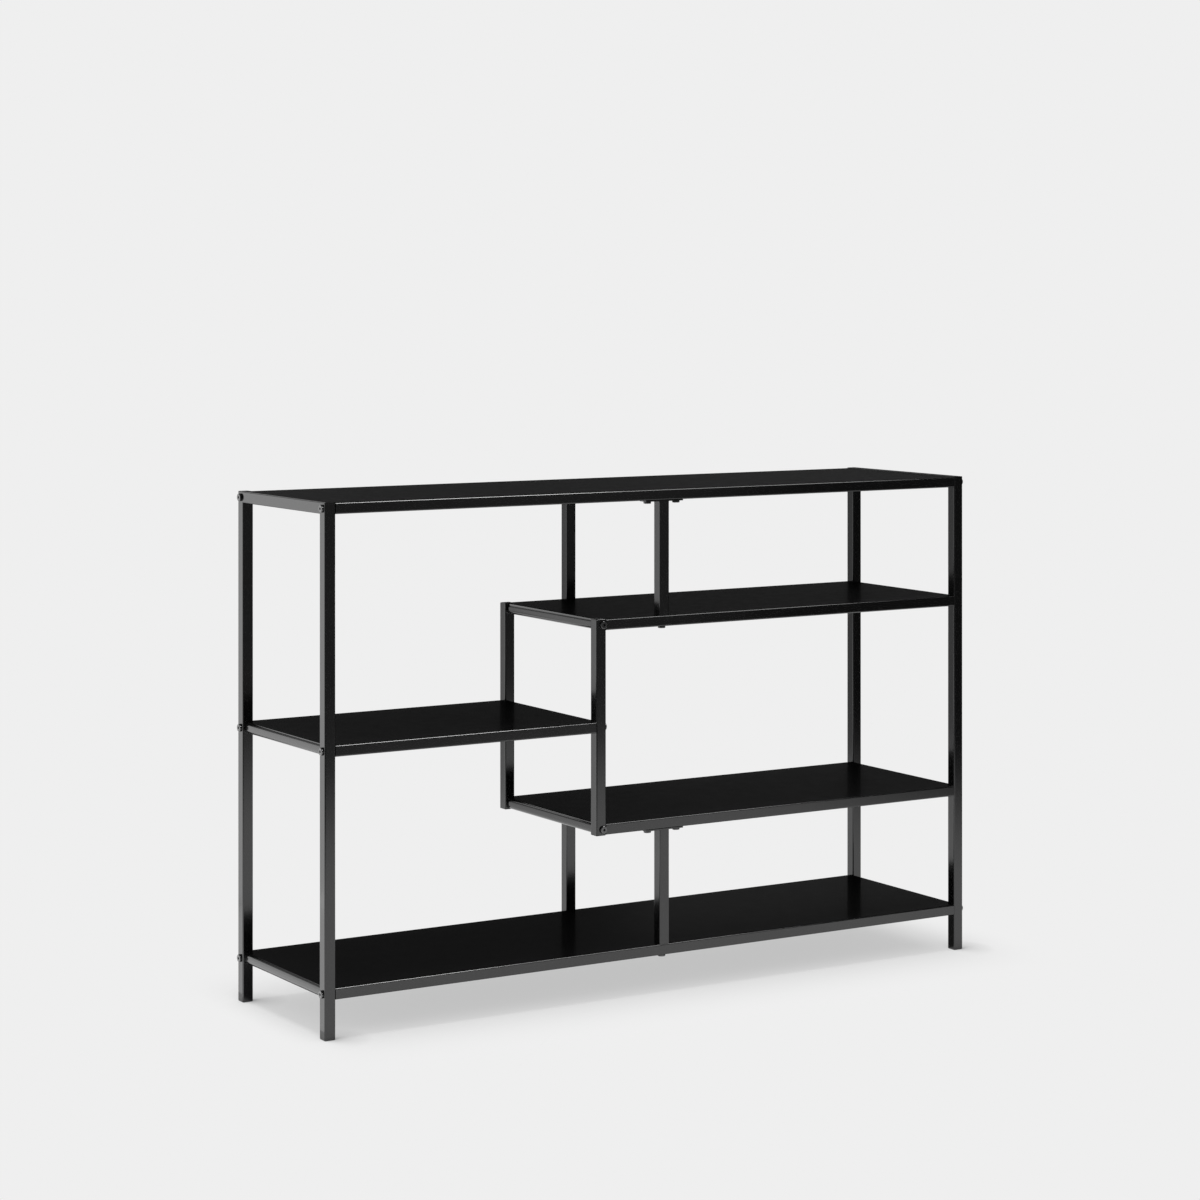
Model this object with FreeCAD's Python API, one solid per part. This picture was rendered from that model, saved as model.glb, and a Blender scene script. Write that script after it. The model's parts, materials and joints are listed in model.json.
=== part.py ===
import FreeCAD, Part
import math
import os

os.makedirs("parts", exist_ok=True)

# Zigzag bookshelf of square steel tube and folded steel shelves, in millimetres.
# The origin is on the floor under the middle. X runs along the shelf, Y from front to back, Z up.

# Frame
length = 1200.0               # outer faces of the left and right end frames
depth = 305.0                 # front faces to back faces of the posts
zigzag_to_centre = 118.0      # middle of the zigzag posts to the middle of the centre posts
bottom_deck = 77.0            # floor to the bottom deck
tall_bay = 200.5              # bottom deck to lower deck, and upper deck to top deck
short_bay = 160.5             # lower deck to middle deck, and middle deck to upper deck
frame_rise = 1.0              # the end frames stand this far above the top deck

# Square tube
tube = 18.0
tube_wall = 1.2
tube_bend = 0.8               # radius inside the tube's corners

# Folded shelves
shelf_depth = 17.0            # deck to the underside of the folded rim
sheet = 1.0
front_bend = 1.0              # radius inside the folds along the front and back
end_bend = 6.0                # radius inside the folds along the ends
end_inset = 4.0               # end folds lie this far inside the outer faces of the posts
rim_lip = 6.0                 # rim under the shelf, past the notch for a post
fit_gap = 0.2                 # room for the powder coat between a shelf and a post

# Plastic plugs in the tube ends
foot_height = 5.0
foot_round = 1.9
foot_plug_length = 15.0
cap_thickness = 2.0
cap_round = 1.5
cap_rise = 1.0                # the zigzag posts with their caps stand this far past the shelves
plug_gap = 0.2                # between a plug and the inside of its tube
plug_bolt_gap = 1.2           # between a cap's plug and the nearest bolt hole

# Centre posts
plate_screw_spacing = 54.0
plate_edge = 8.0              # from a screw to the end of its plate
plate_thickness = 2.0
insert_length = 12.0

# Bolts and nuts
bolt_radius = 3.0
hole_gap = 0.3                # between a bolt and its hole
thread_gap = 0.1              # between a bolt and the thread of its nut
head_radius = 6.0
head_height = 3.5
head_edge = 2.5               # straight edge under the rounding of a head
socket_width = 4.0            # across the flats
socket_depth = 1.6
hex_head_height = 4.0
nut_width = 10.0              # across the flats
nut_thickness = 5.0
bolt_past_nut = 1.0
end_bolt_inset = 8.5          # bolts along Y, from the outer face of the shelf's end fold

# Worked out from the sizes above
half_length = length / 2
half_depth = depth / 2
half_tube = tube / 2
tube_inside = tube - 2 * tube_wall
tube_radius = tube_bend + tube_wall
hole_radius = bolt_radius + hole_gap
plug_width = tube_inside - 2 * plug_gap
cap_sink = cap_thickness - cap_rise      # the zigzag tubes end this far short of the shelves' faces
plug_length = shelf_depth / 2 - hole_radius - plug_bolt_gap - cap_sink

left_x = -half_length + half_tube
right_x = half_length - half_tube
centre_x = (left_x + right_x) / 2
zigzag_x = centre_x - zigzag_to_centre
row_y = half_depth - half_tube           # post axes lie this far in front of and behind the middle
notch_y = half_depth - tube - fit_gap    # shelf notches reach in to here

lower_deck = bottom_deck + tall_bay
middle_deck = lower_deck + short_bay
upper_deck = middle_deck + short_bay
top_deck = upper_deck + tall_bay
frame_top = top_deck + frame_rise
zigzag_low = lower_deck - shelf_depth + cap_sink
zigzag_high = upper_deck - cap_sink

overshoot = tube                         # cutting shapes reach this far past what they cut
touch = 1e-6                             # places closer than this are the same
fold_share = 0.45                        # most of a shelf's depth that one fold may round
rounded_share = 0.8                      # most of a plug's height that its edge may round
hex_sides = 6

along_x = FreeCAD.Vector(1, 0, 0)
along_y = FreeCAD.Vector(0, 1, 0)
along_z = FreeCAD.Vector(0, 0, 1)
left, right = -1, 1                      # signs of X
sides = {"front": -1, "back": 1}         # signs of Y
ends = {"left": left_x, "right": right_x}


def vector(x, y, z):
    return FreeCAD.Vector(x, y, z)


def box(low, high):
    size = high - low
    return Part.makeBox(size.x, size.y, size.z, low)


def prism(points, rise):
    """A solid that rises from the flat outline through the points."""
    return Part.Face(Part.makePolygon(points + points[:1])).extrude(rise)


def runs_along(edge, axis):
    span = edge.Vertexes[-1].Point - edge.Vertexes[0].Point
    return abs(abs(span.dot(axis)) - edge.Length) < touch


def rounded_bar(low, high, axis, radius):
    """A box with the four edges along the axis rounded."""
    bar = box(low, high)
    return bar.makeFillet(radius, [edge for edge in bar.Edges if runs_along(edge, axis)])


def square_bar(foot, height, width, radius):
    """An upright square bar that stands on foot, or hangs from it where height is negative."""
    corner = vector(width / 2, width / 2, 0)
    low = foot + along_z * min(0, height)
    return rounded_bar(low - corner, low + corner + along_z * abs(height), along_z, radius)


def square_tube(centre, start, end, axis):
    """A hollow tube on the line through centre, from start to end along the axis."""
    across = vector(1, 1, 1) - axis
    line = centre - axis * centre.dot(axis)
    outer = rounded_bar(line - across * half_tube + axis * start,
                        line + across * half_tube + axis * end, axis, tube_radius)
    inner = rounded_bar(line - across * (tube_inside / 2) + axis * (start - overshoot),
                        line + across * (tube_inside / 2) + axis * (end + overshoot), axis, tube_bend)
    return outer.cut(inner)


def mitre_wedge(side, for_post):
    """What a 45 degree cut takes off the top of a post, or off the end of the rail above it."""
    outer_y = side * (half_depth + overshoot)
    inner_y = side * (half_depth - tube - overshoot)
    high = frame_top + overshoot
    low = frame_top - tube - overshoot
    square_corner = (inner_y, high) if for_post else (outer_y, low)
    corners = [(outer_y, high), (inner_y, low), square_corner]
    reach = half_length + overshoot
    return prism([vector(-reach, y, z) for y, z in corners], along_x * (2 * reach))


def bolt_hole(start, direction, reach):
    """A clearance hole that runs from just before start for reach."""
    lead = tube_wall
    return Part.makeCylinder(hole_radius, reach + lead, start - direction * lead, direction)


def hexagon(width, height):
    radius = width / math.sqrt(hex_sides / 2)
    turns = [math.tau * step / hex_sides for step in range(hex_sides)]
    points = [vector(radius * math.cos(turn), radius * math.sin(turn), 0) for turn in turns]
    return prism(points, along_z * height)


def placed(solid, seat, direction):
    solid.Placement = FreeCAD.Placement(seat, FreeCAD.Rotation(along_z, direction))
    return solid


def button_bolt(seat, direction, reach):
    """A round-edged bolt with a hexagon socket. Its head sits on seat and its shank runs along direction."""
    head = Part.makeCylinder(head_radius, head_height, vector(0, 0, -head_height))
    rim = [edge for edge in head.Edges if edge.BoundBox.ZMax < touch - head_height]
    head = head.makeFillet(head_height - head_edge, rim)
    socket = hexagon(socket_width, socket_depth)
    socket.translate(vector(0, 0, -head_height))
    shank = Part.makeCylinder(bolt_radius, reach)
    return placed(head.cut(socket).fuse(shank).removeSplitter(), seat, direction)


def hex_bolt(seat, direction, reach):
    head = hexagon(nut_width, hex_head_height)
    head.translate(vector(0, 0, -hex_head_height))
    shank = Part.makeCylinder(bolt_radius, reach)
    return placed(head.fuse(shank).removeSplitter(), seat, direction)


def weld_nut(seat, direction):
    """A hexagon nut on the sheet at seat, on the side that direction points to."""
    thread = Part.makeCylinder(bolt_radius + thread_gap, nut_thickness)
    return placed(hexagon(nut_width, nut_thickness).cut(thread), seat, direction)


class Shelf:
    """One folded shelf between a left and a right pair of posts."""

    def __init__(self, deck, left_post, right_post, notched=True):
        self.deck = deck
        self.bottom = deck - shelf_depth
        self.bolt_z = deck - shelf_depth / 2
        self.notched = notched
        self.channel_left = left_post + half_tube + fit_gap
        self.channel_right = right_post - half_tube - fit_gap
        self.end_left = left_post - half_tube + end_inset if notched else self.channel_left
        self.end_right = right_post + half_tube - end_inset if notched else self.channel_right
        self.holes = []

    def outline(self, inset):
        """Corners seen from above, moved inwards by inset, with a notch for each post."""
        y = half_depth - inset
        notch = notch_y - inset
        x0, x1 = self.channel_left + inset, self.channel_right - inset
        end0, end1 = self.end_left + inset, self.end_right - inset
        if not self.notched:
            return [(x0, -y), (x1, -y), (x1, y), (x0, y)]
        return [(x0, -y), (x1, -y), (x1, -notch), (end1, -notch), (end1, notch), (x1, notch),
                (x1, y), (x0, y), (x0, notch), (end0, notch), (end0, -notch), (x0, -notch)]

    def folded_block(self, inset):
        """The shelf's outer form, or the hollow inside its sheet, with rounded folds."""
        low = self.bottom + inset
        rise = shelf_depth - 2 * inset
        block = prism([vector(x, y, low) for x, y in self.outline(inset)], along_z * rise)
        y = half_depth - inset
        folds = [(along_x, along_y, (-y, y), front_bend)]
        if self.notched:
            places = (self.end_left + inset, self.end_right - inset)
            folds.append((along_y, along_x, places, end_bend))
        for axis, across, places, bend in folds:
            edges = []
            for edge in block.Edges:
                place = edge.CenterOfMass.dot(across)
                if runs_along(edge, axis) and min(abs(place - each) for each in places) < touch:
                    edges.append(edge)
            block = block.makeFillet(min(bend + sheet - inset, fold_share * rise), edges)
        return block

    def end_seat(self, end, side):
        """Where a bolt along X meets the outer face of the wall that faces a post."""
        x = self.channel_left if end == left else self.channel_right
        return vector(x, side * row_y, self.bolt_z)

    def notch_seat(self, side):
        """Where a bolt along Y meets the outer face of the wall in a left notch."""
        return vector(self.end_left + end_bolt_inset, side * notch_y, self.bolt_z)

    def solid(self):
        inner_y = notch_y - rim_lip
        opening = box(vector(self.channel_left + rim_lip, -inner_y, self.bottom - overshoot),
                      vector(self.channel_right - rim_lip, inner_y, self.bottom + 2 * sheet))
        return self.folded_block(0).cut(self.folded_block(sheet)).cut([opening] + self.holes)


shelves = {
    "shelf_top": Shelf(top_deck, left_x, right_x, notched=False),
    "shelf_upper_right": Shelf(upper_deck, zigzag_x, right_x),
    "shelf_middle_left": Shelf(middle_deck, left_x, zigzag_x),
    "shelf_lower_right": Shelf(lower_deck, zigzag_x, right_x),
    "shelf_bottom": Shelf(bottom_deck, left_x, right_x),
}
pieces = {}                              # node to its one solid
fasteners = {}                           # node to its group of like solids


def add_fastener(node, solid):
    fasteners.setdefault(node, []).append(solid)


def drill(node, hole):
    pieces[node] = pieces[node].cut(hole)


def make_end_frames():
    """Corner posts with mitred tops, and the rail that joins each pair."""
    for end, x in ends.items():
        rail = square_tube(vector(x, 0, frame_top - half_tube), -half_depth, half_depth, along_y)
        for name, side in sides.items():
            post = square_tube(vector(x, side * row_y, 0), foot_height, frame_top, along_z)
            pieces[f"post_{end}_{name}"] = post.cut(mitre_wedge(side, for_post=True))
            rail = rail.cut(mitre_wedge(side, for_post=False))
        pieces[f"end_rail_{end}"] = rail


def make_feet():
    """Plastic feet plugged into the corner posts."""
    for end, x in ends.items():
        for name, side in sides.items():
            floor_point = vector(x, side * row_y, 0)
            foot = square_bar(floor_point, foot_height, tube, tube_radius)
            sole = [edge for edge in foot.Edges if edge.BoundBox.ZMax < touch]
            foot = foot.makeFillet(min(foot_round, rounded_share * foot_height), sole)
            plug = square_bar(floor_point + along_z * foot_height, foot_plug_length, plug_width, tube_bend)
            pieces[f"foot_{end}_{name}"] = foot.fuse(plug).removeSplitter()


def make_zigzag_posts():
    """Posts from the underside of the lower right shelf to the upper right deck, with a cap on each end."""
    for name, side in sides.items():
        axis = vector(zigzag_x, side * row_y, 0)
        pieces[f"zigzag_post_{name}"] = square_tube(axis, zigzag_low, zigzag_high, along_z)
        for place, level, outwards in (("top", zigzag_high, 1), ("bottom", zigzag_low, -1)):
            tube_end = axis + along_z * level
            cap = square_bar(tube_end, outwards * cap_thickness, tube, tube_radius)
            face = level + outwards * cap_thickness
            rim = [edge for edge in cap.Edges if max(abs(end.Z - face) for end in edge.Vertexes) < touch]
            cap = cap.makeFillet(min(cap_round, rounded_share * cap_thickness), rim)
            plug = square_bar(tube_end, -outwards * plug_length, plug_width, tube_bend)
            pieces[f"zigzag_cap_{place}_{name}"] = cap.fuse(plug).removeSplitter()


def bolt_through_posts(shelf_name, end, post_x, bolt_node, drilled):
    """Bolts along X, through a front and a back post, into nuts in the end of a shelf."""
    shelf = shelves[shelf_name]
    inwards = along_x * -end
    reach = tube + fit_gap + sheet + nut_thickness + bolt_past_nut
    for name, side in sides.items():
        seat = vector(post_x + end * half_tube, side * row_y, shelf.bolt_z)
        hole = bolt_hole(seat, inwards, reach)
        for node in drilled:
            drill(node.format(name), hole)
        shelf.holes.append(hole)
        add_fastener(bolt_node, button_bolt(seat, inwards, reach))
        add_fastener("nuts_" + shelf_name, weld_nut(shelf.end_seat(end, side) + inwards * sheet, inwards))


def bolt_zigzag_end(shelf_name):
    """Bolts along Y, through the zigzag posts, into nuts in the left notches of a shelf."""
    shelf = shelves[shelf_name]
    reach = tube + fit_gap + sheet + nut_thickness + bolt_past_nut
    for name, side in sides.items():
        inwards = along_y * -side
        wall = shelf.notch_seat(side)
        seat = vector(wall.x, side * half_depth, wall.z)
        hole = bolt_hole(seat, inwards, reach)
        drill(f"zigzag_post_{name}", hole)
        shelf.holes.append(hole)
        add_fastener("bolts_zigzag", button_bolt(seat, inwards, reach))
        add_fastener("nuts_" + shelf_name, weld_nut(wall + inwards * sheet, inwards))


def bolt_inside_right_end(shelf_name):
    """Bolts from inside a shelf's fold into nuts in the right posts, where no head shows."""
    shelf = shelves[shelf_name]
    stack = sheet + fit_gap + tube_wall
    for name, side in sides.items():
        seat = shelf.end_seat(right, side) - along_x * sheet
        hole = bolt_hole(seat, along_x, stack + tube_wall)
        drill(f"post_right_{name}", hole)
        shelf.holes.append(hole)
        add_fastener("bolts_inside_right", hex_bolt(seat, along_x, stack + nut_thickness + bolt_past_nut))
        add_fastener("nuts_right_posts", weld_nut(seat + along_x * stack, along_x))


def make_centre_posts(level, below, above):
    """Posts on a deck, held by a bolt from below, with a plate screwed to the shelf above."""
    base, roof = shelves[below], shelves[above]
    plate_low = roof.bottom - plate_thickness
    half_plate = plate_screw_spacing / 2 + plate_edge
    for name, side in sides.items():
        axis = vector(centre_x, side * row_y, 0)
        pieces[f"centre_post_{level}_{name}"] = square_tube(axis, base.deck, plate_low, along_z)

        plate = box(axis + vector(-half_plate, -half_tube, plate_low),
                    axis + vector(half_plate, half_tube, roof.bottom))
        for shift in (-plate_screw_spacing / 2, plate_screw_spacing / 2):
            seat = axis + vector(shift, 0, plate_low)
            stack = plate_thickness + sheet
            hole = bolt_hole(seat, along_z, stack + sheet)
            plate = plate.cut(hole)
            roof.holes.append(hole)
            screw = button_bolt(seat, along_z, stack + nut_thickness + bolt_past_nut)
            add_fastener("screws_centre_plates", screw)
            add_fastener("nuts_" + above, weld_nut(seat + along_z * stack, along_z))
        pieces[f"centre_plate_{level}_{name}"] = plate

        foot = axis + along_z * base.deck
        thread = Part.makeCylinder(bolt_radius + thread_gap, insert_length, foot)
        insert = square_bar(foot, insert_length, plug_width, tube_bend).cut(thread)
        add_fastener("inserts_centre_posts", insert)
        seat = axis + along_z * base.bottom
        base.holes.append(bolt_hole(seat, along_z, shelf_depth + sheet))
        add_fastener("bolts_centre_posts", button_bolt(seat, along_z, shelf_depth + insert_length))


make_end_frames()
make_feet()
make_zigzag_posts()
bolt_through_posts("shelf_top", left, left_x, "bolts_left_end", ["post_left_{}", "end_rail_left"])
bolt_through_posts("shelf_middle_left", left, left_x, "bolts_left_end", ["post_left_{}"])
bolt_through_posts("shelf_bottom", left, left_x, "bolts_left_end", ["post_left_{}"])
bolt_through_posts("shelf_top", right, right_x, "bolts_right_end", ["post_right_{}", "end_rail_right"])
bolt_through_posts("shelf_bottom", right, right_x, "bolts_right_end", ["post_right_{}"])
bolt_through_posts("shelf_middle_left", right, zigzag_x, "bolts_middle_shelf", ["zigzag_post_{}"])
for right_shelf in ("shelf_upper_right", "shelf_lower_right"):
    bolt_zigzag_end(right_shelf)
    bolt_inside_right_end(right_shelf)
make_centre_posts("upper", "shelf_upper_right", "shelf_top")
make_centre_posts("lower", "shelf_bottom", "shelf_lower_right")

for node, shelf in shelves.items():
    pieces[node] = shelf.solid()
for node, solid in pieces.items():
    solid.exportStep(f"parts/{node}.step")
for node, solids in fasteners.items():
    Part.makeCompound(solids).exportStep(f"parts/{node}.step")
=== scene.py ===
import json
import math

import bpy
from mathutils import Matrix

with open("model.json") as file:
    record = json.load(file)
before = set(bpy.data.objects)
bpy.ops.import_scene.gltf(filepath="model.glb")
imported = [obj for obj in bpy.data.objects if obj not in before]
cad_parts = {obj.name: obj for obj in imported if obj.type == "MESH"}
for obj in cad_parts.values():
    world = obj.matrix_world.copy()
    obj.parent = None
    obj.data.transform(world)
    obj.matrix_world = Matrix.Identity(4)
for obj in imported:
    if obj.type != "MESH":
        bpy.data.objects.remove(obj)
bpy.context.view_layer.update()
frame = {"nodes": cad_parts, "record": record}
nodes = frame["nodes"]
bpy.ops.object.select_all(action="DESELECT")
print("frame loaded:", len(nodes), "nodes")


def newNode(tree, kind, x, y, **settings):
    node = tree.nodes.new(kind)
    node.location = (x, y)
    for name, value in settings.items():
        setattr(node, name, value)
    return node


def feed(tree, source, target, output=0):
    tree.links.new(source.outputs[output], target)


# a soft step: atLow below low, atHigh above high
def slide(tree, x, y, source, output, low, high, atLow, atHigh):
    node = newNode(tree, "ShaderNodeMapRange", x, y, interpolation_type="SMOOTHSTEP")
    for name, value in (("From Min", low), ("From Max", high), ("To Min", atLow), ("To Max", atHigh)):
        node.inputs[name].default_value = value
    feed(tree, source, node.inputs["Value"], output)
    return node


def newGroup(name, inputs, outputs):
    group = bpy.data.node_groups.new(name, "ShaderNodeTree")
    for socketName, kind, value in inputs:
        socket = group.interface.new_socket(socketName, in_out="INPUT", socket_type=kind)
        if value is not None:
            socket.default_value = value
    for socketName, kind in outputs:
        group.interface.new_socket(socketName, in_out="OUTPUT", socket_type=kind)
    return group, newNode(group, "NodeGroupInput", -900, 0), newNode(group, "NodeGroupOutput", 700, 0)


# the fine orange peel of sprayed and baked coats, and the cloudiness that goes with it
coatNoise = {"peelDetail": 2.0, "cloudDetail": 5.0, "cloudRough": 0.6, "cloudSpread": (0.3, 0.7)}


def makeCoatGrain():
    group, start, end = newGroup(
        "coatGrain",
        [("Place", "NodeSocketVector", None), ("Peel Size", "NodeSocketFloat", None),
         ("Cloud Size", "NodeSocketFloat", None)],
        [("Height", "NodeSocketFloat"), ("Cloud", "NodeSocketFloat")])
    peel = newNode(group, "ShaderNodeTexNoise", -500, 200)
    peel.inputs["Detail"].default_value = coatNoise["peelDetail"]
    feed(group, start, peel.inputs["Vector"], "Place")
    feed(group, start, peel.inputs["Scale"], "Peel Size")
    cloud = newNode(group, "ShaderNodeTexNoise", -500, -200)
    cloud.inputs["Detail"].default_value = coatNoise["cloudDetail"]
    cloud.inputs["Roughness"].default_value = coatNoise["cloudRough"]
    feed(group, start, cloud.inputs["Vector"], "Place")
    feed(group, start, cloud.inputs["Scale"], "Cloud Size")
    spread = newNode(group, "ShaderNodeMapRange", -200, -200)
    spread.inputs["From Min"].default_value, spread.inputs["From Max"].default_value = coatNoise["cloudSpread"]
    feed(group, cloud, spread.inputs["Value"])
    feed(group, peel, end.inputs["Height"])
    feed(group, spread, end.inputs["Cloud"])
    return group


# 1 on faces that look up, 0 on upright ones, turning where the normal's height lies between these two
deckFacing = {"begin": 0.9, "full": 0.99}


def makeUpFacing():
    group, start, end = newGroup(
        "upFacing",
        [("Normal", "NodeSocketVector", None), ("Begin", "NodeSocketFloat", deckFacing["begin"]),
         ("Full", "NodeSocketFloat", deckFacing["full"])],
        [("Mask", "NodeSocketFloat")])
    parts = newNode(group, "ShaderNodeSeparateXYZ", -500, 0)
    feed(group, start, parts.inputs[0], "Normal")
    mask = newNode(group, "ShaderNodeMapRange", -200, 0, interpolation_type="SMOOTHSTEP")
    feed(group, parts, mask.inputs["Value"], "Z")
    feed(group, start, mask.inputs["From Min"], "Begin")
    feed(group, start, mask.inputs["From Max"], "Full")
    feed(group, mask, end.inputs["Mask"])
    return group


coatGrain = makeCoatGrain()
upFacing = makeUpFacing()

# one finish for each slot of the record: colour from dark to light and roughness along its clouds, peel and
# clouds per metre, and a coat that is sleek on upright faces and mirrors less, topCoat, where a face looks up.
# The recess shade is how near a wall darkens the colour, painted shade in the hollows, and the coat's open
# range how open the shape is where the coat begins and is whole, so that painted shade also takes the coat out
# of the hollows
finishLooks = {
    "frame_coat": {   # sprayed black on the tubes
        "name": "sprayed_frame_coat", "dark": (0.0039, 0.0039, 0.004), "light": (0.0051, 0.0051, 0.0052),
        "rough": (0.46, 0.54), "peel": 950.0, "cloud": 60.0, "bump": 0.05, "bumpDepth": 0.0002,
        "shine": 0.0006, "coat": 1.0, "topCoat": 0.0125, "coatRough": 0.13, "coatIor": 1.75},
    "shelf_coat": {   # the same spray on the folded decks
        "name": "sprayed_shelf_coat", "dark": (0.0039, 0.0039, 0.004), "light": (0.0049, 0.0049, 0.005),
        "rough": (0.48, 0.56), "peel": 850.0, "cloud": 45.0, "bump": 0.05, "bumpDepth": 0.0002,
        "shine": 0.0006, "coat": 1.0, "topCoat": 0.0125, "coatRough": 0.13, "coatIor": 1.75},
    "bolt_black": {   # blackened, with a worn, slightly lighter bloom, and painted shade that darkens the sockets and takes their shine away
        "name": "blackened_bolts", "dark": (0.009, 0.009, 0.0093), "light": (0.022, 0.022, 0.0225),
        "rough": (0.34, 0.5), "peel": 1280.0, "cloud": 320.0, "bump": 0.06, "bumpDepth": 0.0001,
        "shine": 0.05, "paintedRecessShade": 0.003, "coat": 1.0, "topCoat": 0.0, "coatPaintedShadeFade": (0.55, 0.95),
        "coatRough": 0.16, "coatIor": 2.1},
    "zinc_steel": {   # nuts, inserts and hidden bolts, with painted shade in their hollows
        "name": "zinc_plate", "dark": (0.42, 0.43, 0.45), "light": (0.66, 0.67, 0.68), "metallic": 1.0,
        "rough": (0.28, 0.45), "peel": 1040.0, "cloud": 260.0, "bump": 0.06, "bumpDepth": 0.0001,
        "shine": 0.5, "paintedRecessShade": 0.003},
    "black_plastic": {   # moulded feet and tube caps, with painted shade in their hollows
        "name": "moulded_caps", "dark": (0.0105, 0.0105, 0.0108), "light": (0.015, 0.015, 0.0154),
        "rough": (0.5, 0.66), "peel": 5600.0, "cloud": 1400.0, "bump": 0.12, "bumpDepth": 0.0001,
        "shine": 0.03, "paintedRecessShade": 0.003, "coat": 0.9, "topCoat": 0.0, "coatRough": 0.22, "coatIor": 1.7},
}


def layCoat(tree, shader, look, paintedRecessShade):
    shader.inputs["Coat Roughness"].default_value = look["coatRough"]
    shader.inputs["Coat IOR"].default_value = look["coatIor"]
    facing = newNode(tree, "ShaderNodeNewGeometry", -1200, -300)
    mask = newNode(tree, "ShaderNodeGroup", -950, -300, node_tree=upFacing)
    feed(tree, facing, mask.inputs["Normal"], "Normal")
    sleek = newNode(tree, "ShaderNodeMapRange", -500, -600)
    sleek.inputs["To Min"].default_value = look["coat"]
    sleek.inputs["To Max"].default_value = look["topCoat"]
    feed(tree, mask, sleek.inputs["Value"], "Mask")
    weight = sleek
    if "coatPaintedShadeFade" in look:   # painted shade: no coat where the shape closes in
        weight = newNode(tree, "ShaderNodeMath", -250, -600, operation="MULTIPLY")
        feed(tree, sleek, weight.inputs[0])
        feed(tree, slide(tree, -500, -900, paintedRecessShade, "AO", *look["coatPaintedShadeFade"], 0.0, 1.0), weight.inputs[1])
    feed(tree, weight, shader.inputs["Coat Weight"])


def makeFinish(look):
    material = bpy.data.materials.new(look["name"])
    material.use_nodes = True
    tree = material.node_tree
    shader = tree.nodes["Principled BSDF"]
    shader.inputs["Metallic"].default_value = look.get("metallic", 0.0)
    shader.inputs["Specular IOR Level"].default_value = look["shine"]
    place = newNode(tree, "ShaderNodeTexCoord", -1200, 0)
    grain = newNode(tree, "ShaderNodeGroup", -950, 0, node_tree=coatGrain)
    grain.inputs["Peel Size"].default_value = look["peel"]
    grain.inputs["Cloud Size"].default_value = look["cloud"]
    feed(tree, place, grain.inputs["Place"], "Object")
    colour = newNode(tree, "ShaderNodeMix", -500, 250, data_type="RGBA")
    colour.inputs["A"].default_value = look["dark"] + (1.0,)
    colour.inputs["B"].default_value = look["light"] + (1.0,)
    feed(tree, grain, colour.inputs["Factor"], "Cloud")
    paintedRecessShade = None
    if "paintedRecessShade" in look:   # painted shade: darker where the shape closes in
        paintedRecessShade = newNode(tree, "ShaderNodeAmbientOcclusion", -250, 250)
        paintedRecessShade.inputs["Distance"].default_value = look["paintedRecessShade"]
        feed(tree, colour, paintedRecessShade.inputs["Color"], "Result")
        feed(tree, paintedRecessShade, shader.inputs["Base Color"], "Color")
    else:
        feed(tree, colour, shader.inputs["Base Color"], "Result")
    rough = newNode(tree, "ShaderNodeMapRange", -500, 0)
    rough.inputs["To Min"].default_value, rough.inputs["To Max"].default_value = look["rough"]
    feed(tree, grain, rough.inputs["Value"], "Cloud")
    feed(tree, rough, shader.inputs["Roughness"])
    bump = newNode(tree, "ShaderNodeBump", -500, -300)
    bump.inputs["Strength"].default_value = look["bump"]
    bump.inputs["Distance"].default_value = look["bumpDepth"]
    feed(tree, grain, bump.inputs["Height"], "Height")
    feed(tree, bump, shader.inputs["Normal"])
    if "coat" in look:
        layCoat(tree, shader, look, paintedRecessShade)
    return material


finishes = {slot: makeFinish(look) for slot, look in finishLooks.items()}
print("finishes made:", len(finishes))

for part in frame["record"]["subparts"]:
    piece = nodes[part["node"]]
    for slot in piece.material_slots:
        slot.material = finishes[part["material_slot"]]


# rays that show the backdrop: the camera's own, and those that a piece mirrors or lets through
def backdropRays(tree, x, y):
    path = newNode(tree, "ShaderNodeLightPath", x, y)
    mirrored = newNode(tree, "ShaderNodeMath", x + 200, y, operation="MAXIMUM")
    feed(tree, path, mirrored.inputs[0], "Is Camera Ray")
    feed(tree, path, mirrored.inputs[1], "Is Glossy Ray")
    shown = newNode(tree, "ShaderNodeMath", x + 400, y, operation="MAXIMUM")
    feed(tree, mirrored, shown.inputs[0])
    feed(tree, path, shown.inputs[1], "Is Transmission Ray")
    return shown


# how far a point lies outside a rectangle with this corner
def reach(tree, x, y, source, corner):
    past = newNode(tree, "ShaderNodeVectorMath", x, y, operation="SUBTRACT")
    feed(tree, source, past.inputs[0])
    past.inputs[1].default_value = corner
    outside = newNode(tree, "ShaderNodeVectorMath", x + 200, y, operation="MAXIMUM")
    feed(tree, past, outside.inputs[0])
    away = newNode(tree, "ShaderNodeVectorMath", x + 400, y, operation="LENGTH")
    feed(tree, outside, away.inputs[0])
    return away


def blankMaterial(name):
    material = bpy.data.materials.new(name)
    material.use_nodes = True
    tree = material.node_tree
    tree.nodes.remove(tree.nodes["Principled BSDF"])
    return material, tree, tree.nodes["Material Output"].inputs["Surface"]


surround = {"pale": 0.863, "light": 0.45}   # the backdrop's tone all round, and the weaker light from it

# paper floor: the backdrop's tone away from the shelf, and near it some of the lit paper with its shadow.
# shadowEven is the backdrop's share in a rectangle about centre, which grows to 1 over shadowReach, and at the
# left and right ends between two places along x. The contact shadow entries paint a shadow: how near a foot on
# that side darkens the backdrop's glow on the paper
floor = {"size": 60.0, "paper": 0.86, "centre": (0.0, 0.04, 0.0), "underShelf": (0.6, 0.11, 1.0),
         "shadowReach": 0.27, "shadowEven": 0.6, "leftEnd": (-0.657, -0.573), "rightEnd": (0.536, 0.739),
         "paintedShadowReach": 0.058, "paintedShadowSide": (-1.0, 0.0, 0.35)}
bpy.ops.mesh.primitive_plane_add(size=floor["size"])
paper = bpy.context.active_object
paper.name = "paper_floor"


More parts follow.
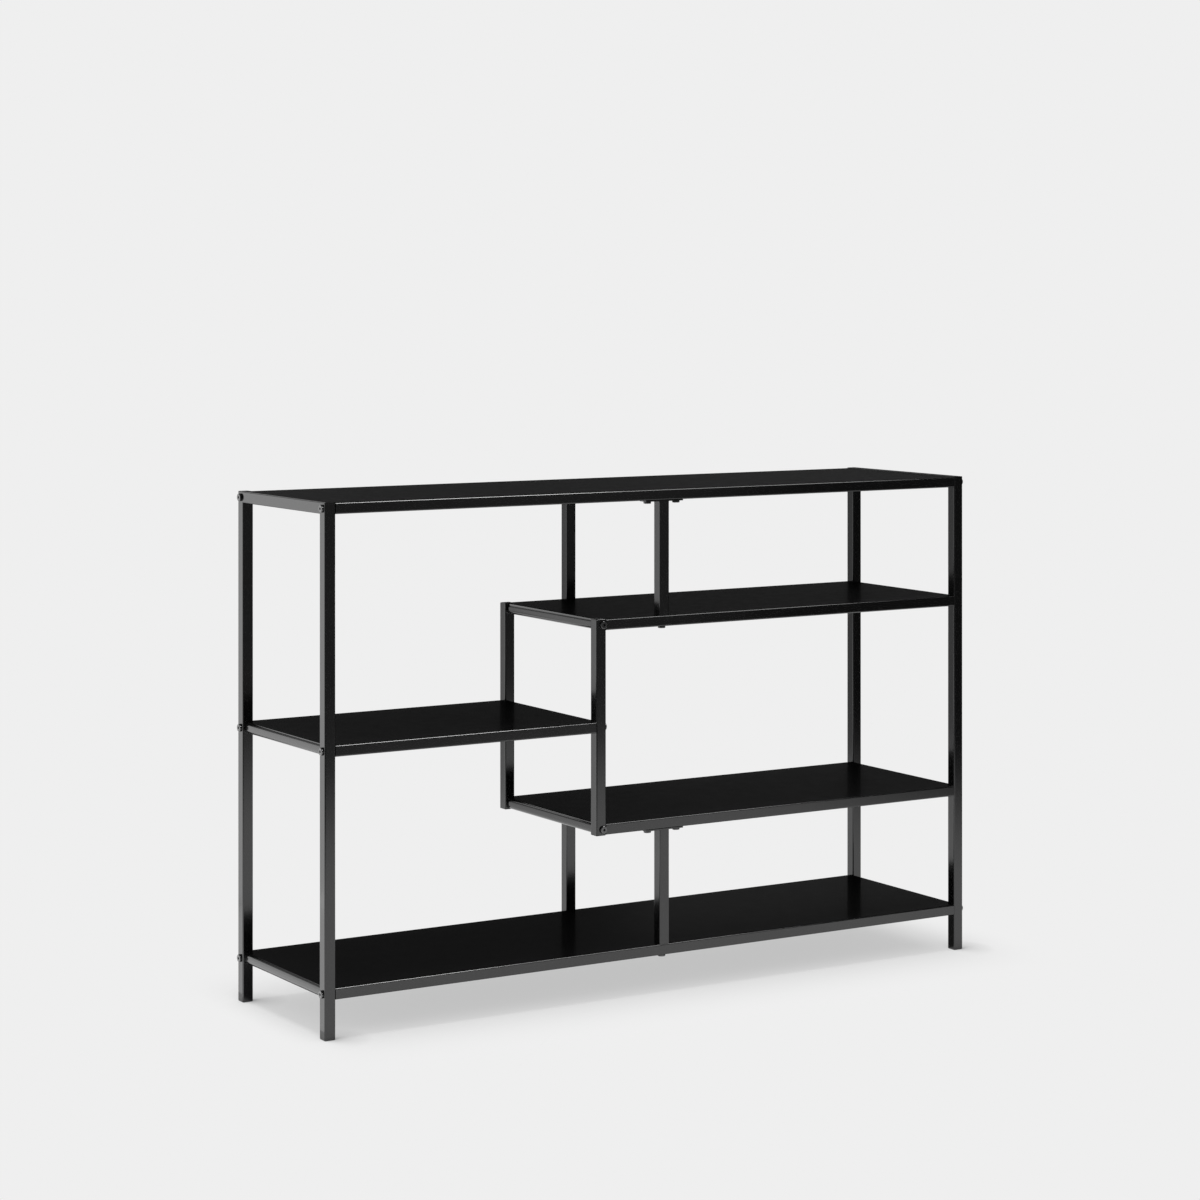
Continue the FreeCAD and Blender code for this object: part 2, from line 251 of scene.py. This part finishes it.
def makePaper():
    material, tree, surface = blankMaterial("paper_floor")
    diffuse = newNode(tree, "ShaderNodeBsdfDiffuse", 300, 250)
    diffuse.inputs["Color"].default_value = (floor["paper"],) * 3 + (1.0,)
    place = newNode(tree, "ShaderNodeNewGeometry", -1400, 0)
    parts = newNode(tree, "ShaderNodeSeparateXYZ", -1400, 300)
    feed(tree, place, parts.inputs[0], "Position")
    centred = newNode(tree, "ShaderNodeVectorMath", -1300, 0, operation="SUBTRACT")
    feed(tree, place, centred.inputs[0], "Position")
    centred.inputs[1].default_value = floor["centre"]
    sides = newNode(tree, "ShaderNodeVectorMath", -1150, 0, operation="ABSOLUTE")
    feed(tree, centred, sides.inputs[0])
    away = reach(tree, -950, 0, sides, floor["underShelf"])
    even = slide(tree, -350, 0, away, "Value", 0.0, floor["shadowReach"], floor["shadowEven"], 1.0)
    ends = newNode(tree, "ShaderNodeMath", -500, 200, operation="MAXIMUM")
    feed(tree, slide(tree, -750, 400, parts, "X", *floor["leftEnd"], 1.0, 0.0), ends.inputs[0])
    feed(tree, slide(tree, -750, 150, parts, "X", *floor["rightEnd"], 0.0, 1.0), ends.inputs[1])
    clear = newNode(tree, "ShaderNodeMix", -250, 150, data_type="FLOAT")
    feed(tree, ends, clear.inputs["Factor"])
    feed(tree, even, clear.inputs["A"])
    clear.inputs["B"].default_value = 1.0
    share = newNode(tree, "ShaderNodeMath", -100, 0, operation="MULTIPLY")
    feed(tree, clear, share.inputs[0])
    feed(tree, backdropRays(tree, -750, -300), share.inputs[1])
    side = newNode(tree, "ShaderNodeVectorMath", -100, -300, operation="NORMALIZE")
    side.inputs[0].default_value = floor["paintedShadowSide"]
    paintedContactShadow = newNode(tree, "ShaderNodeAmbientOcclusion", 100, -150)   # painted shadow: a foot darkens the paper's glow close by it
    paintedContactShadow.inputs["Distance"].default_value = floor["paintedShadowReach"]
    feed(tree, side, paintedContactShadow.inputs["Normal"])
    glow = newNode(tree, "ShaderNodeEmission", 300, 50)
    glow.inputs["Strength"].default_value = surround["pale"]
    feed(tree, paintedContactShadow, glow.inputs["Color"], "Color")
    mix = newNode(tree, "ShaderNodeMixShader", 550, 100)
    feed(tree, share, mix.inputs["Fac"])
    feed(tree, diffuse, mix.inputs[1])
    feed(tree, glow, mix.inputs[2])
    feed(tree, mix, surface)
    return material


paper.data.materials.append(makePaper())

world = bpy.data.worlds.new("studio")
bpy.context.scene.world = world
world.use_nodes = True
shown = newNode(world.node_tree, "ShaderNodeMix", -200, 0, data_type="FLOAT")
feed(world.node_tree, backdropRays(world.node_tree, -900, 0), shown.inputs["Factor"])
shown.inputs["A"].default_value = surround["light"]
shown.inputs["B"].default_value = surround["pale"]
feed(world.node_tree, shown, world.node_tree.nodes["Background"].inputs["Color"])
print("floor and backdrop made")

# cards that glow though they are no lamps and show only where a coat mirrors them, painted reflections: light
# from the pale ones and shade from the dark ones. Place, tilt from lying flat in degrees, size across and
# along, tone, and for some the tone that it turns into between two places along x
cards = {
    "dark_roof_reflection": {"place": (0.0, 1.0, 3.0), "tilt": 0.0, "across": 16.0, "along": 14.0, "tone": 0.03},
    "front_screen_reflection": {"place": (1.0, -2.6, 1.5), "tilt": 90.0, "across": 14.0, "along": 3.0, "tone": 0.11,
                     "rightTone": 0.03, "turnsAt": (1.6, 2.0)},
    "grey_back_reflection": {"place": (-0.55, 1.6, 1.0), "tilt": 90.0, "across": 0.8, "along": 2.0, "tone": 0.33},
    "pale_strip_reflection": {"place": (-0.15, 1.5, 1.36), "tilt": 90.0, "across": 0.8, "along": 0.78, "tone": 1.0},
    "pale_right_reflection": {"place": (1.7, 1.5, 1.6), "tilt": 90.0, "across": 1.2, "along": 1.0, "tone": 1.0},
    "low_right_reflection": {   # a painted reflection: the bottom deck's right half mirrors it, brighter than white at its right end
        "place": (1.4, 1.5, 0.405), "tilt": 90.0, "across": 1.1, "along": 0.15, "tone": surround["pale"],
        "rightTone": 2.5, "turnsAt": (0.85, 1.12)},
    "pale_mat_reflection": {   # a painted reflection, brighter than white, for the lowest part of the left faces
        "place": (-0.96, 0.34, 0.003), "tilt": 0.0, "across": 0.68, "along": 0.92, "tone": 1.4},
    "dark_mat_reflection": {   # a painted dark reflection: it lies under the shelf, where it stands in for the shade there, far to the right and, past a slanting line, far in front
        "place": (0.0, 0.0, 0.002), "tilt": 0.0, "across": 40.0, "along": 40.0, "tone": 0.06,
        "rightTone": 0.02, "turnsAt": (1.3, 2.0), "underShelf": (0.58, 0.13, 1.0), "freeFrom": (0.0, 0.02),
        "freeRight": (0.9, 2.0), "freeFront": (1.2, 2.5), "slant": (-0.41, -1.0, 0.0)},
}


# how much of the paper shows through the mat
def freePaper(tree, place, parts, card):
    ahead = newNode(tree, "ShaderNodeVectorMath", -700, 300, operation="DOT_PRODUCT")
    feed(tree, place, ahead.inputs[0], "Position")
    ahead.inputs[1].default_value = card["slant"]
    beyond = newNode(tree, "ShaderNodeMath", -50, 400, operation="MULTIPLY")
    feed(tree, slide(tree, -300, 500, parts, "X", *card["freeRight"], 1.0, 0.0), beyond.inputs[0])
    feed(tree, slide(tree, -300, 250, ahead, "Value", *card["freeFront"], 1.0, 0.0), beyond.inputs[1])
    sides = newNode(tree, "ShaderNodeVectorMath", -1100, 700, operation="ABSOLUTE")
    feed(tree, place, sides.inputs[0], "Position")
    away = reach(tree, -900, 700, sides, card["underShelf"])
    free = newNode(tree, "ShaderNodeMath", 100, 500, operation="MULTIPLY")
    feed(tree, slide(tree, -300, 750, away, "Value", *card["freeFrom"], 0.0, 1.0), free.inputs[0])
    feed(tree, beyond, free.inputs[1])
    return free


def makeCard(name, card):
    material, tree, surface = blankMaterial(name)
    tone = newNode(tree, "ShaderNodeEmission", 0, 0)
    tone.inputs["Strength"].default_value = card["tone"]
    if "rightTone" not in card:
        feed(tree, tone, surface)
        return material
    place = newNode(tree, "ShaderNodeNewGeometry", -900, 0)
    parts = newNode(tree, "ShaderNodeSeparateXYZ", -700, 0)
    feed(tree, place, parts.inputs[0], "Position")
    turning = slide(tree, -300, 0, parts, "X", *card["turnsAt"], card["tone"], card["rightTone"])
    feed(tree, turning, tone.inputs["Strength"])
    if "slant" not in card:
        feed(tree, tone, surface)
        return material
    mix = newNode(tree, "ShaderNodeMixShader", 250, 100)
    feed(tree, freePaper(tree, place, parts, card), mix.inputs["Fac"])
    feed(tree, tone, mix.inputs[1])
    feed(tree, newNode(tree, "ShaderNodeBsdfTransparent", 0, 150), mix.inputs[2])
    feed(tree, mix, surface)
    return material


for name, card in cards.items():
    bpy.ops.mesh.primitive_plane_add(size=1.0, location=card["place"],
                                     rotation=(math.radians(card["tilt"]), 0.0, 0.0))
    sheet = bpy.context.active_object
    sheet.name = name
    sheet.scale = (card["across"], card["along"], 1.0)
    sheet.visible_camera = False
    sheet.visible_diffuse = False
    sheet.visible_shadow = False
    sheet.data.materials.append(makeCard(name, card))
print("cards placed:", len(cards))

# soft boxes: place, tilt from straight down and turn in degrees, size across and along, watts. The overhead one
# lights and isn't mirrored, the two in front are mirrored and don't light, and the panel on the left does both
softBoxes = {
    "overhead": {"place": (-0.6, -0.1, 5.0), "tilt": 6.9, "turn": -80.5, "across": 2.0, "along": 2.0,
                 "watts": 140.0, "mirrored": False},
    "front_top": {"place": (0.75, -1.4, 2.4), "tilt": 32.0, "turn": 6.0, "across": 0.75, "along": 0.9,
                  "watts": 34.0, "lights": False},
    "front_right": {"place": (1.55, -1.4, 2.4), "tilt": 32.0, "turn": 15.0, "across": 0.8, "along": 1.1,
                    "watts": 14.0, "lights": False},
    "left_panel": {"place": (-1.35, 0.35, 0.7), "tilt": 90.0, "turn": -130.0, "across": 1.5, "along": 1.4,
                   "watts": 3.1},
}
for name, lamp in softBoxes.items():
    bpy.ops.object.light_add(type="AREA", location=lamp["place"],
                             rotation=(math.radians(lamp["tilt"]), 0.0, math.radians(lamp["turn"])))
    light = bpy.context.active_object
    light.name = name
    light.visible_camera = False
    light.visible_glossy = lamp.get("mirrored", True)
    light.visible_diffuse = lamp.get("lights", True)
    light.data.shape = "RECTANGLE"
    light.data.size, light.data.size_y = lamp["across"], lamp["along"]
    light.data.energy = lamp["watts"]
print("soft boxes placed:", len(softBoxes))

# level camera at the photo's place, shifted down to frame the shelf
camera = {"place": (-2.6068, -4.1898, 1.1182), "tilt": 90.0, "turn": -31.64, "lens": 90.79, "sensor": 36.0,
          "shiftX": -0.0006, "shiftY": -0.2599}
bpy.ops.object.camera_add(location=camera["place"],
                          rotation=(math.radians(camera["tilt"]), 0.0, math.radians(camera["turn"])))
view = bpy.context.active_object
view.data.lens = camera["lens"]
view.data.sensor_width = camera["sensor"]
view.data.shift_x = camera["shiftX"]
view.data.shift_y = camera["shiftY"]
bpy.context.scene.camera = view
bpy.context.scene.view_settings.view_transform = "Standard"
print("camera set")
